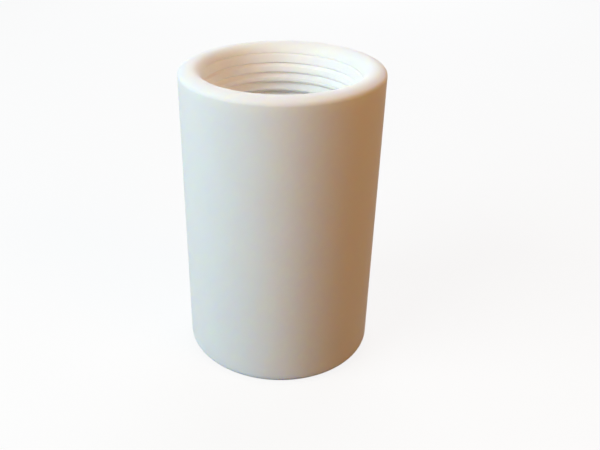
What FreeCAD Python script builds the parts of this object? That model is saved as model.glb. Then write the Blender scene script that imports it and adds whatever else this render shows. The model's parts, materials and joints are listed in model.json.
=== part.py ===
import FreeCAD, Part
import math
import os
import Sketcher

# Drop pipe coupling: one piece of heavy-wall rigid PVC tube, its ends turned round and flared, and
# bored for a 1 inch taper pipe thread. Millimetres, +Z up. The tube's axis is Z, and the origin
# is at the centre of the lower end face.

sizes = [
    ("pipeDiameter", 33.4, "outside of the pipe that screws into each end, 1 inch size"),
    ("mouthClearance", 1.85, "from the pipe out to the end face, where the mouth's rounding begins"),
    ("tappingAllowance", 1.97, "how far the bore lies inside the pipe's surface, for the thread"),
    ("landWidth", 0.3, "flat part of the end face"),
    ("endWall", 2.53, "from the mouth's rounding out to the side, which makes the outside 42.16"),
    ("couplingLength", 65.1, "from end face to end face"),
    ("flareAngle", 23, "whole angle of the cone behind the mouth, in degrees"),
    ("mouthRadius", 2.15, "rounding from the end face into the cone"),
    ("crownRadius", 3.15, "rounding that falls away from the end face outwards"),
    ("shoulderRadius", 1.0, "rounding from the crown into the side"),
]

doc = FreeCAD.newDocument("drop_pipe_coupling")
sheet = doc.addObject("Spreadsheet::Sheet", "Sizes")
for row, (alias, value, meaning) in enumerate(sizes, start=1):
    sheet.set(f"A{row}", meaning)
    sheet.set(f"B{row}", str(value))
    sheet.setAlias(f"B{row}", alias)
doc.recompute()

coupling = doc.addObject("PartDesign::Body", "Coupling")
coupling.Label = "coupling"
planes = {plane.Role: plane for plane in coupling.Origin.OriginFeatures}

# Half of the section through the axis. It is drawn roughly, and the constraints size it.
section = coupling.newObject("Sketcher::SketchObject", "HalfSection")
section.AttachmentSupport = (planes["XZ_Plane"], [""])
section.MapMode = "FlatFace"
start, end = 1, 2


def line(x1, y1, x2, y2):
    ends = [FreeCAD.Vector(x, y, 0) for x, y in ((x1, y1), (x2, y2))]
    return section.addGeometry(Part.LineSegment(*ends))


# An arc about a centre, from one angle to a larger one, in degrees.
def arc(x, y, radius, fromAngle, toAngle):
    circle = Part.Circle(FreeCAD.Vector(x, y, 0), FreeCAD.Vector(0, 0, 1), radius)
    angles = [math.radians(angle) for angle in (fromAngle, toAngle)]
    return section.addGeometry(Part.ArcOfCircle(circle, *angles))


# Adds a constraint under a name and ties its size to the sheet.
def bind(name, constraint, expression):
    section.renameConstraint(section.addConstraint(constraint), name)
    section.setExpression(f"Constraints.{name}", expression)


# Adds a distance in X or Y under a name. It starts at the size that is drawn. One point is
# measured from the origin, and of two points the second lies to the right of the first or above.
def measure(kind, name, places, expression):
    drawn = section.getPoint(*places[-1])
    if len(places) == 2:
        drawn = drawn - section.getPoint(*places[0])
    gap = drawn.x if kind == "DistanceX" else drawn.y
    where = [number for place in places for number in place]
    bind(name, Sketcher.Constraint(kind, *where, gap), expression)


bore = line(15, 10, 15, 55)
side = line(21, 1, 21, 64)
for upright in (bore, side):
    section.addConstraint(Sketcher.Constraint("Vertical", upright))

# Each end runs from the bore to the side: cone, mouth, land, crown and shoulder. In the upper end
# the arcs turn from right to left, so the mouth's arc, for one, starts at the land.
cone = line(15, 10, 16, 2)
mouth = arc(18, 2, 2, 190, 270)
land = line(18, 0, 19, 0)
crown = arc(19, 3, 3, 270, 305)
shoulder = arc(20, 1, 1, 305, 360)
lower = [(bore, start), (cone, start, end), (mouth, start, end), (land, start, end),
         (crown, start, end), (shoulder, start, end), (side, start)]
cone = line(15, 55, 16, 63)
mouth = arc(18, 63, 2, 90, 170)
land = line(18, 65, 19, 65)
crown = arc(19, 62, 3, 55, 90)
shoulder = arc(20, 64, 1, 0, 55)
upper = [(bore, end), (cone, start, end), (mouth, end, start), (land, start, end),
         (crown, end, start), (shoulder, end, start), (side, end)]

mouthX = "Sizes.pipeDiameter / 2 + Sizes.mouthClearance"
boreX = "Sizes.pipeDiameter / 2 - Sizes.tappingAllowance"
lean = "(90 deg - Sizes.flareAngle * 0.5 deg)"
for name, pieces, sign in (("lower", lower, -1), ("upper", upper, 1)):
    for before, after in zip(pieces, pieces[1:]):
        kind = "Coincident" if before[0] == bore else "Tangent"
        ends = [before[0], before[-1], after[0], after[1]]
        section.addConstraint(Sketcher.Constraint(kind, *ends))
    cone, mouth, land, crown, shoulder = [piece[0] for piece in pieces[1:-1]]
    section.addConstraint(Sketcher.Constraint("Horizontal", land))
    for part, radius in ((mouth, "mouth"), (crown, "crown"), (shoulder, "shoulder")):
        drawn = section.Geometry[part].Radius
        bind(name + radius.capitalize(), Sketcher.Constraint("Radius", part, drawn),
             f"Sizes.{radius}Radius")
    drawn = section.Geometry[cone]
    rise = drawn.EndPoint - drawn.StartPoint
    bind(name + "Lean", Sketcher.Constraint("Angle", cone, math.atan2(rise.y, rise.x)),
         f"{sign} * {lean}")
    measure("DistanceX", name + "MouthEdge", [(land, start)], mouthX)
    measure("DistanceX", name + "Land", [(land, start), (land, end)], "Sizes.landWidth")
lowerLand, upperLand = lower[3][0], upper[3][0]
section.addConstraint(Sketcher.Constraint("PointOnObject", lowerLand, start, -1))
measure("DistanceX", "boreEdge", [(bore, start)], boreX)
measure("DistanceX", "wallAtEnd", [(lowerLand, start), (side, start)], "Sizes.endWall")
measure("DistanceY", "endToEnd", [(upperLand, start)], "Sizes.couplingLength")

turned = coupling.newObject("PartDesign::Revolution", "TurnedTube")
turned.Profile = section
turned.ReferenceAxis = (section, ["V_Axis"])
turned.Angle = 360
doc.recompute()

for item in doc.Objects:
    if "Invalid" in item.State or "Error" in item.State:
        raise RuntimeError(f"{item.Name} is {item.State}")
if coupling.Shape.isNull() or not coupling.Shape.isValid():
    raise RuntimeError("the coupling has no valid shape")

os.makedirs("parts", exist_ok=True)
coupling.Shape.exportStep(f"parts/{coupling.Label}.step")
box = coupling.Shape.optimalBoundingBox()
print(f"{coupling.Label}: {len(coupling.Shape.Solids)} solid, {coupling.Shape.Volume:.1f} mm3,")
print(f"{box.XLength:.3f} x {box.YLength:.3f} x {box.ZLength:.3f} mm, lowest at {box.ZMin:.3f}")
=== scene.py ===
import json
import math

import bmesh
import bpy
import numpy as np
from mathutils import Matrix, Vector


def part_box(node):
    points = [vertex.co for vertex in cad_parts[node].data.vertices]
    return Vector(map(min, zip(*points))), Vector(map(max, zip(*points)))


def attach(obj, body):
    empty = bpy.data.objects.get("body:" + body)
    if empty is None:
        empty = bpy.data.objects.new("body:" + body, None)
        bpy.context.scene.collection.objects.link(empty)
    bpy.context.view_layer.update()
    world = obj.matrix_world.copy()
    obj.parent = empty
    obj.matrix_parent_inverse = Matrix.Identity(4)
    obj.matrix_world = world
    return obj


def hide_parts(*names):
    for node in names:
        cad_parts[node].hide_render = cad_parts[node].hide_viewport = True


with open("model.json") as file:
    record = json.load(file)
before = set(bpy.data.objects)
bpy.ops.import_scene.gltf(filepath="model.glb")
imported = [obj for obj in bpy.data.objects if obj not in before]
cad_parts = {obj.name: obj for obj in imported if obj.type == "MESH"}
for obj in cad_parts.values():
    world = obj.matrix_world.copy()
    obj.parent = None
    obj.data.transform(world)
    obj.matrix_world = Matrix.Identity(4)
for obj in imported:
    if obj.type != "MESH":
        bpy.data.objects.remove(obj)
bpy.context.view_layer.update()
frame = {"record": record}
print("frame loaded")

# Sizes are in millimetres, as on a maker's drawing, and become metres in the mesh.
mm = 0.001

lowCorner, highCorner = (np.array(corner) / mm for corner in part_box("coupling"))
mounts = {mount["name"]: mount for mount in frame["record"]["mounts"]}
boreWall = mounts["upper_pipe_thread"]["dims"]

# The coupling. Its outside, length and bore come from the frame.
coupling = {
    "outsideRadius": (highCorner[0] - lowCorner[0]) / 2,
    "length": highCorner[2] - lowCorner[2],
    "boreRadius": boreWall["r_mm"],
    "flareAngle": 23,         # degrees, the whole angle of the cone behind the mouth
    "mouthRounding": 2.15,
    "landRadius": 18.55,      # inner edge of the flat part of the end face
    "landWidth": 0.3,
    "crownRounding": 3.15,
    "shoulderRounding": 1.0,
    "pitch": 25.4 / 11.5,     # 11.5 turns to the inch
    "rootRadius": 16.614,     # bottom of the groove, taken at the end face
    "taper": 1 / 32,          # how much the groove's radius shrinks for each mm in
    "rootFlat": 0.17,
    "flankAngle": 30,         # degrees, from straight out of the wall
    "fullThread": 17.6,       # depth at which the tap's lead begins
    "leadLength": 6.6,        # over which the groove runs out
    "grooveDepthAtBack": 2.14,  # depth of the first groove's middle on the +Y side
    "columns": 240,
    "rowsPerTurn": 12,
    "roundingSteps": 8,
    "sideRows": 14,
    "boreRows": 4,
    "threadFrom": 60,         # degrees round the mouth's rounding, where the threaded rows begin
    "sharpAngle": 28,         # degrees, past which an edge is shaded as an edge
}


# An arc of the section in (radius, depth), from one tilt of the surface to another. A tilt of 0
# is level and 90 degrees is the side: radius = centre + rounding * sin(tilt), and
# depth = centre - rounding * cos(tilt).
def sectionArc(centre, rounding, fromTilt, toTilt, steps):
    tilt = np.linspace(fromTilt, toTilt, steps + 1)
    turn = np.stack([np.sin(tilt), -np.cos(tilt)], axis=1)
    return np.array(centre) + rounding * turn


# Points along a straight stretch, its two ends left out. They crowd towards both ends, as the
# cosine of even steps does, so that a rounding's shading stays near the rounding:
# point = start + (end - start) * (1 - cos(step)) / 2.
def stretch(start, end, count):
    share = (1 - np.cos(np.linspace(0, np.pi, count + 2)[1:-1])) / 2
    return start + (end - start) * share[:, None]


# Radius of the inner wall without its thread: the mouth's rounding, which runs on smoothly into
# the flare's cone, and from where the cone is as narrow as the bore, the bore.
def bareWall(depth, c):
    tilt, rounding = math.radians(c["flareAngle"] / 2), c["mouthRounding"]
    footDepth = rounding * (1 - math.sin(tilt))
    footRadius = c["landRadius"] - rounding * math.cos(tilt)
    cone = np.maximum(c["boreRadius"], footRadius - math.tan(tilt) * (depth - footDepth))
    fromCentre = np.clip(rounding - depth, 0, rounding)
    mouth = c["landRadius"] - np.sqrt(rounding ** 2 - fromCentre ** 2)
    return np.where(depth < footDepth, mouth, cone)


# Radius of the inner wall at a depth and an angle. The groove is a V whose bottom follows the
# taper and whose middle sinks by one pitch in each clockwise turn, seen from outside the mouth. It
# is cut off by the tap's lead and shows where it is deeper than the bare wall:
# radius = max(bare wall, min(V, lead)).
def innerRadius(depth, angle, c):
    turns = (depth - c["grooveDepthAtBack"]) / c["pitch"] + (angle - np.pi / 2) / (2 * np.pi)
    fromMiddle = np.abs(turns - np.round(turns)) * c["pitch"]
    root = c["rootRadius"] - c["taper"] * depth
    flank = np.maximum(0, fromMiddle - c["rootFlat"] / 2) / np.tan(np.radians(c["flankAngle"]))
    rootAtLead = c["rootRadius"] - c["taper"] * c["fullThread"]
    leadSlope = (rootAtLead - c["boreRadius"]) / c["leadLength"]
    lead = rootAtLead - leadSlope * (depth - c["fullThread"])
    return np.maximum(bareWall(depth, c), np.minimum(root - flank, lead))


# One end of the coupling, from half way up the side, over the end and half way down the bore:
# radius and depth on a grid of rows and columns. The thread comes out on the mouth's rounding, and
# from there on a row climbs with the thread and is held within the thread's two ends, so rows lie
# along the crests and the roots.
def endGrid(c):
    angle = np.linspace(0, 2 * np.pi, c["columns"], endpoint=False)
    half, steps = c["length"] / 2, c["roundingSteps"]
    edge, crown, lip = c["shoulderRounding"], c["crownRounding"], c["mouthRounding"]
    crownEdge = c["landRadius"] + c["landWidth"]
    crownTilt = math.asin((c["outsideRadius"] - edge - crownEdge) / (crown - edge))
    shoulderDepth = crown - (crown - edge) * math.cos(crownTilt)
    shoulderCentre = (c["outsideRadius"] - edge, shoulderDepth)
    shoulder = sectionArc(shoulderCentre, edge, math.pi / 2, crownTilt, steps)
    rim = sectionArc((crownEdge, crown), crown, crownTilt, 0, steps)
    mouth = sectionArc((c["landRadius"], lip), lip, 0, -math.radians(c["threadFrom"]), steps)
    middle = np.array([[c["outsideRadius"], half]])
    side = stretch(middle[0], shoulder[0], c["sideRows"])
    outer = np.concatenate([middle, side, shoulder, rim[1:], mouth])

    top, bottom = mouth[-1, 1], c["fullThread"] + c["leadLength"]
    first = c["grooveDepthAtBack"] + c["pitch"] / 4
    first -= c["pitch"] * math.ceil((first - top) / c["pitch"])
    rowStep = c["pitch"] / c["rowsPerTurn"]
    rowCount = math.ceil((bottom - first) / rowStep) + c["rowsPerTurn"] + 1
    rows = first + rowStep * np.arange(rowCount)
    depth = np.clip(rows[:, None] - c["pitch"] * angle / (2 * np.pi), top, bottom)
    thread = innerRadius(depth, angle, c)

    boreEnds = np.array([[c["boreRadius"], bottom], [c["boreRadius"], half]])
    bore = np.concatenate([stretch(*boreEnds, c["boreRows"]), boreEnds[1:]])
    spread = np.ones(c["columns"])
    radius = np.concatenate([outer[:, :1] * spread, thread, bore[:, :1] * spread])
    depth = np.concatenate([outer[:, 1:] * spread, depth, bore[:, 1:] * spread])
    turned = np.arange(len(radius)) > len(side)
    return angle, radius, depth, turned, (len(outer), len(outer) + rowCount)


# Corner numbers of the quads of a grid whose columns close. In the threaded rows, the last column
# meets the first one turn further up, so the row there is smaller by the rows in a turn.
def gridQuads(rows, columns, threaded, rowsPerTurn):
    row, column = np.meshgrid(np.arange(rows - 1), np.arange(columns), indexing="ij")

    def number(row, column):
        firstRow, endRow = threaded
        inThread = (row >= firstRow) & (row < endRow)
        lifted = np.where(inThread, np.maximum(row - rowsPerTurn, firstRow), row)
        return np.where(column == columns, lifted * columns, row * columns + column)

    corners = [(row, column), (row, column + 1), (row + 1, column + 1), (row + 1, column)]
    return np.stack([number(r, k) for r, k in corners], axis=-1).reshape(-1, 4)


# The whole coupling. The second end is the first one turned about the X axis: y becomes -y, and
# height becomes length - height. The two are joined at the middle, and points that lie together
# become one.
def makeCoupling(c):
    angle, radius, depth, turned, threaded = endGrid(c)
    x, y, z = radius * np.cos(angle), radius * np.sin(angle), c["length"] - depth
    upper = np.stack([x, y, z], axis=-1).reshape(-1, 3)
    lower = upper * [1, -1, -1] + [0, 0, c["length"]]
    quads = gridQuads(*radius.shape, threaded, c["rowsPerTurn"])
    points = np.concatenate([upper, lower]) * mm
    faces = np.concatenate([quads, quads + len(upper)])

    mesh = bpy.data.meshes.new("coupling_pvc")
    mesh.vertices.add(len(points))
    mesh.vertices.foreach_set("co", points.ravel())
    mesh.loops.add(faces.size)
    mesh.loops.foreach_set("vertex_index", faces.ravel())
    mesh.polygons.add(len(faces))
    mesh.polygons.foreach_set("loop_start", np.arange(0, faces.size, 4))
    mesh.update(calc_edges=True)
    cut = mesh.attributes.new("turned", "FLOAT", "POINT")
    cut.data.foreach_set("value", np.tile(np.repeat(turned, c["columns"]), 2).astype(np.float32))

    form = bmesh.new()
    form.from_mesh(mesh)
    bmesh.ops.remove_doubles(form, verts=form.verts, dist=0.001 * mm)
    bmesh.ops.recalc_face_normals(form, faces=form.faces)
    form.to_mesh(mesh)
    form.free()
    mesh.polygons.foreach_set("use_smooth", np.ones(len(mesh.polygons), bool))
    mesh.set_sharp_from_angle(angle=math.radians(c["sharpAngle"]))
    piece = bpy.data.objects.new("coupling_body", mesh)
    bpy.context.scene.collection.objects.link(piece)
    return piece


# sRGB hex to the linear colour that a shader takes: a level up to 0.04045 is divided by 12.92, and
# a higher one becomes ((level + 0.055) / 1.055) to the power of 2.4.
def linear(hexColour):
    levels = np.array([int(hexColour[i:i + 2], 16) for i in (1, 3, 5)]) / 255
    levels = np.where(levels <= 0.04045, levels / 12.92, ((levels + 0.055) / 1.055) ** 2.4)
    return (*levels.tolist(), 1.0)


# Adds a node, sets its properties and inputs, and links the inputs that are given as sockets.
def addNode(tree, kind, inputs=None, **settings):
    node = tree.nodes.new(kind)
    for name, value in settings.items():
        setattr(node, name, value)
    for name, value in (inputs or {}).items():
        if isinstance(value, bpy.types.NodeSocket):
            tree.links.new(value, node.inputs[name])
        else:
            node.inputs[name].default_value = value
    return node


# An empty node tree for a material or the world.
def emptyTree(owner):
    owner.use_nodes = True
    owner.node_tree.nodes.clear()
    return owner.node_tree


plastic = {
    "white": "#f9faf8",
    "shade": "#f5f6f3",       # where the mix is a little thinner
    "roughness": 0.55,
    "roughnessSpread": 0.05,  # how much rougher or smoother the marks are
    "ior": 1.53,
    "specular": 0.07,         # chalky with titanium white, so it shines less than clear PVC
    "glowDepth": 2.0,         # mm that light wanders under the surface
    "glowShare": 0.7,         # of the light that comes back out, the part that wandered
    "glowReach": (1.0, 0.8, 0.4),  # red wanders furthest, which warms the shadows
    "cloudSize": 9.0,         # mm, from one cloud of the mix to the next
    "dieLineSize": 0.9,       # mm; real die lines are near 0.3, drawn coarser so that they show
    "dieLineLength": 70.0,    # mm
    "toolMarkSize": 0.45,     # mm; a facing tool feeds near 0.15, drawn coarser so that it shows
    "markDepth": 0.024,       # mm, for the die lines and the tool marks
}


# White rigid PVC, extruded as tube and then turned. It gives the eye an even, clean white that
# barely shines and glows a little inside the bore, faint lines along the side from the die, and
# fine rings where a tool has cut.
def extrudedWhitePvc(p):
    material = bpy.data.materials.new("extruded_white_rigid_pvc")
    tree = emptyTree(material)
    place = addNode(tree, "ShaderNodeTexCoord").outputs["Object"]
    perMm = addNode(tree, "ShaderNodeVectorMath", {0: place, 1: (1 / mm,) * 3},
                    operation="MULTIPLY").outputs[0]
    turned = addNode(tree, "ShaderNodeAttribute", attribute_name="turned").outputs["Fac"]

    clouds = addNode(tree, "ShaderNodeTexNoise", {
        "Vector": perMm, "Scale": 1 / p["cloudSize"], "Detail": 3.0, "Roughness": 0.5})
    colour = addNode(tree, "ShaderNodeMix", {
        "Factor": clouds.outputs["Fac"], 6: linear(p["shade"]), 7: linear(p["white"])},
        data_type="RGBA").outputs[2]

    lineScale = (1 / p["dieLineSize"], 1 / p["dieLineSize"], 1 / p["dieLineLength"])
    alongDie = addNode(tree, "ShaderNodeVectorMath", {0: perMm, 1: lineScale},
                       operation="MULTIPLY").outputs[0]
    dieLines = addNode(tree, "ShaderNodeTexNoise", {
        "Vector": alongDie, "Scale": 1.0, "Detail": 3.0, "Roughness": 0.6}).outputs["Fac"]

    flat = addNode(tree, "ShaderNodeVectorMath", {0: perMm, 1: (1, 1, 0)},
                   operation="MULTIPLY").outputs[0]
    fromAxis = addNode(tree, "ShaderNodeVectorMath", {0: flat}, operation="LENGTH").outputs["Value"]
    height = addNode(tree, "ShaderNodeSeparateXYZ", {0: perMm}).outputs["Z"]
    section = addNode(tree, "ShaderNodeCombineXYZ", {"X": fromAxis, "Y": height}).outputs[0]
    toolMarks = addNode(tree, "ShaderNodeTexNoise", {
        "Vector": section, "Scale": 1 / p["toolMarkSize"], "Detail": 2.0, "Roughness": 0.5},
        noise_dimensions="2D").outputs["Fac"]

    marks = addNode(tree, "ShaderNodeMix", {"Factor": turned, 2: dieLines, 3: toolMarks}).outputs[0]
    relief = addNode(tree, "ShaderNodeBump", {
        "Height": marks, "Strength": 0.5, "Distance": p["markDepth"] * mm}).outputs[0]
    roughness = addNode(tree, "ShaderNodeMapRange", {
        "Value": marks, "From Min": 0.3, "From Max": 0.7,
        "To Min": p["roughness"] - p["roughnessSpread"],
        "To Max": p["roughness"] + p["roughnessSpread"]}).outputs[0]
    shader = addNode(tree, "ShaderNodeBsdfPrincipled", {
        "Base Color": colour, "Roughness": roughness, "IOR": p["ior"], "Normal": relief,
        "Specular IOR Level": p["specular"], "Subsurface Weight": p["glowShare"],
        "Subsurface Radius": p["glowReach"], "Subsurface Scale": p["glowDepth"] * mm})
    addNode(tree, "ShaderNodeOutputMaterial", {"Surface": shader.outputs[0]})
    return material


body = makeCoupling(coupling)
body.data.materials.append(extrudedWhitePvc(plastic))
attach(body, "root")
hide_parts("coupling")
print("coupling made:", len(body.data.polygons), "faces")


# Nodes that give 1 for what the camera, a mirror or glass sees and 0 for other light: the largest
# of the three kinds of ray.
def seenDirectly(tree):
    ray = addNode(tree, "ShaderNodeLightPath").outputs
    seen = ray["Is Camera Ray"]
    for kind in ("Is Glossy Ray", "Is Transmission Ray"):
        seen = addNode(tree, "ShaderNodeMath", {0: seen, 1: ray[kind]},
                       operation="MAXIMUM").outputs[0]
    return seen


studio = {
    "floorWidth": 6000,       # mm
    "floorColour": "#f4f4f4",
    "floorStain": "#f0f0f0",  # the darker patches of the paint
    "stainSize": 40,          # mm
    "floorLift": 0.86,        # light added for the camera, so that the floor is a plain pale one
    "floorBounce": "#464e55",  # what the floor gives back to the object
    "ambient": "#242424",     # light from all round
    "backdrop": "#f5f5f5",    # what stands behind the object in side views
}


# A pale floor. The camera, mirrors and glass see it near white with the object's shadow on it,
# and it throws only a little light back onto the object.
def paleFloor(s):
    material = bpy.data.materials.new("pale_painted_floor")
    tree = emptyTree(material)
    place = addNode(tree, "ShaderNodeTexCoord").outputs["Object"]
    stains = addNode(tree, "ShaderNodeTexNoise", {
        "Vector": place, "Scale": 1 / (s["stainSize"] * mm), "Detail": 2.0}).outputs["Fac"]
    tone = addNode(tree, "ShaderNodeMix", {
        "Factor": stains, 6: linear(s["floorStain"]), 7: linear(s["floorColour"])},
        data_type="RGBA").outputs[2]
    paint = addNode(tree, "ShaderNodeBsdfDiffuse", {"Color": tone}).outputs[0]
    glow = addNode(tree, "ShaderNodeEmission", {"Strength": 1.0}).outputs[0]
    lifted = addNode(tree, "ShaderNodeMixShader", {
        "Fac": s["floorLift"], 1: paint, 2: glow}).outputs[0]
    dull = addNode(tree, "ShaderNodeBsdfDiffuse", {"Color": linear(s["floorBounce"])}).outputs[0]
    surface = addNode(tree, "ShaderNodeMixShader", {
        "Fac": seenDirectly(tree), 1: dull, 2: lifted}).outputs[0]
    addNode(tree, "ShaderNodeOutputMaterial", {"Surface": surface})
    return material


# The floor: a square at height 0, half its width to each side of the coupling's axis.
def makeFloor(s):
    reach = s["floorWidth"] / 2 * mm
    mesh = bpy.data.meshes.new("floor")
    mesh.from_pydata([(-reach, -reach, 0), (reach, -reach, 0), (reach, reach, 0),
                      (-reach, reach, 0)], [], [(0, 1, 2, 3)])
    mesh.materials.append(paleFloor(s))
    floor = bpy.data.objects.new("floor", mesh)
    bpy.context.scene.collection.objects.link(floor)


# The world: near white where it is seen directly, and a weak grey light otherwise.
def makeWorld(s):
    world = bpy.data.worlds.new("studio")
    tree = emptyTree(world)
    sky = addNode(tree, "ShaderNodeMix", {
        "Factor": seenDirectly(tree), 6: linear(s["ambient"]), 7: linear(s["backdrop"])},
        data_type="RGBA").outputs[2]
    light = addNode(tree, "ShaderNodeBackground", {"Color": sky, "Strength": 1.0}).outputs[0]
    addNode(tree, "ShaderNodeOutputWorld", {"Surface": light})
    bpy.context.scene.world = world


# The lamps: cool light from the left, warm light from the right, and two behind for the end's rim
# and the back. An azimuth is counted in degrees from the camera's side, to the left as a minus, a
# distance and a width are in mm.
lamps = {
    "cool_window": {"azimuth": -60, "elevation": 31, "distance": 600, "width": 450,
                    "watts": 3.7, "colour": "#eefbff"},
    "warm_bounce": {"azimuth": 55, "elevation": 32, "distance": 500, "width": 300,
                    "watts": 1.0, "colour": "#ffbc74"},
    "far_ceiling": {"azimuth": 170, "elevation": 43, "distance": 600, "width": 500,
                    "watts": 1.65, "colour": "#e4f0ff"},
    "rear_fill": {"azimuth": 178, "elevation": 12, "distance": 600, "width": 400,
                  "watts": 0.65, "colour": "#fff6ea"},
}


# A round lamp that faces the middle of the coupling. It stands at the middle + distance * towards,
# where towards = (sin(azimuth) cos(elevation), -cos(azimuth) cos(elevation), sin(elevation)).
def makeLamp(name, s):
    light = bpy.data.lights.new(name, "AREA")
    light.shape = "DISK"
    light.size = s["width"] * mm
    light.energy = s["watts"]
    light.color = linear(s["colour"])[:3]
    azimuth, elevation = math.radians(s["azimuth"]), math.radians(s["elevation"])
    towards = Vector((math.sin(azimuth) * math.cos(elevation),
                      -math.cos(azimuth) * math.cos(elevation), math.sin(elevation)))
    aim = Vector((0, 0, coupling["length"] * mm / 2))
    lamp = bpy.data.objects.new(name, light)
    lamp.location = aim + towards * s["distance"] * mm
    lamp.rotation_euler = towards.to_track_quat("Z", "Y").to_euler()
    bpy.context.scene.collection.objects.link(lamp)


makeFloor(studio)
makeWorld(studio)
for lampName, lampSettings in lamps.items():
    makeLamp(lampName, lampSettings)
print("studio lit")

# The camera, fitted to the outline in the photograph. Yaw is to the right, pitch is down and
# roll is to the right, in radians.
photographView = {
    "away": 137.7,            # mm in front of the axis
    "height": 105.4,          # mm above the floor
    "yaw": -0.0489,
    "pitch": 0.5110,
    "roll": -0.0101,
    "focalPixels": 694.2,     # focal length
    "axisPixels": -50,        # where the lens's axis meets the frame, to the right of its middle
    "frameWidth": 600,        # pixels
    "sensorWidth": 36,        # mm
    "clipStart": 10,          # mm
    "clipEnd": 20000,         # mm
}


# The camera. Ahead = (sin(yaw) cos(pitch), cos(yaw) cos(pitch), -sin(pitch)), right is level and
# square to it, up is square to both, and right and up are turned by the roll. The lens is
# focalPixels / frameWidth * sensorWidth.
def makeCamera(v):
    yaw, pitch, roll = v["yaw"], v["pitch"], v["roll"]
    ahead = Vector((math.sin(yaw) * math.cos(pitch), math.cos(yaw) * math.cos(pitch),
                    -math.sin(pitch)))
    right = Vector((math.cos(yaw), -math.sin(yaw), 0))
    up = right.cross(ahead)
    cameraX = math.cos(roll) * right + math.sin(roll) * up
    cameraY = -math.sin(roll) * right + math.cos(roll) * up
    data = bpy.data.cameras.new("photograph_view")
    data.sensor_width = v["sensorWidth"]
    data.lens = v["focalPixels"] / v["frameWidth"] * v["sensorWidth"]
    data.shift_x = -v["axisPixels"] / v["frameWidth"]
    data.clip_start = v["clipStart"] * mm
    data.clip_end = v["clipEnd"] * mm
    camera = bpy.data.objects.new("photograph_view", data)
    turn = Matrix((cameraX, cameraY, -ahead)).transposed().to_4x4()
    camera.matrix_world = Matrix.Translation((0, -v["away"] * mm, v["height"] * mm)) @ turn
    bpy.context.scene.collection.objects.link(camera)
    bpy.context.scene.camera = camera


makeCamera(photographView)
bpy.context.scene.view_settings.view_transform = "Standard"
print("camera placed")

bpy.context.view_layer.update()
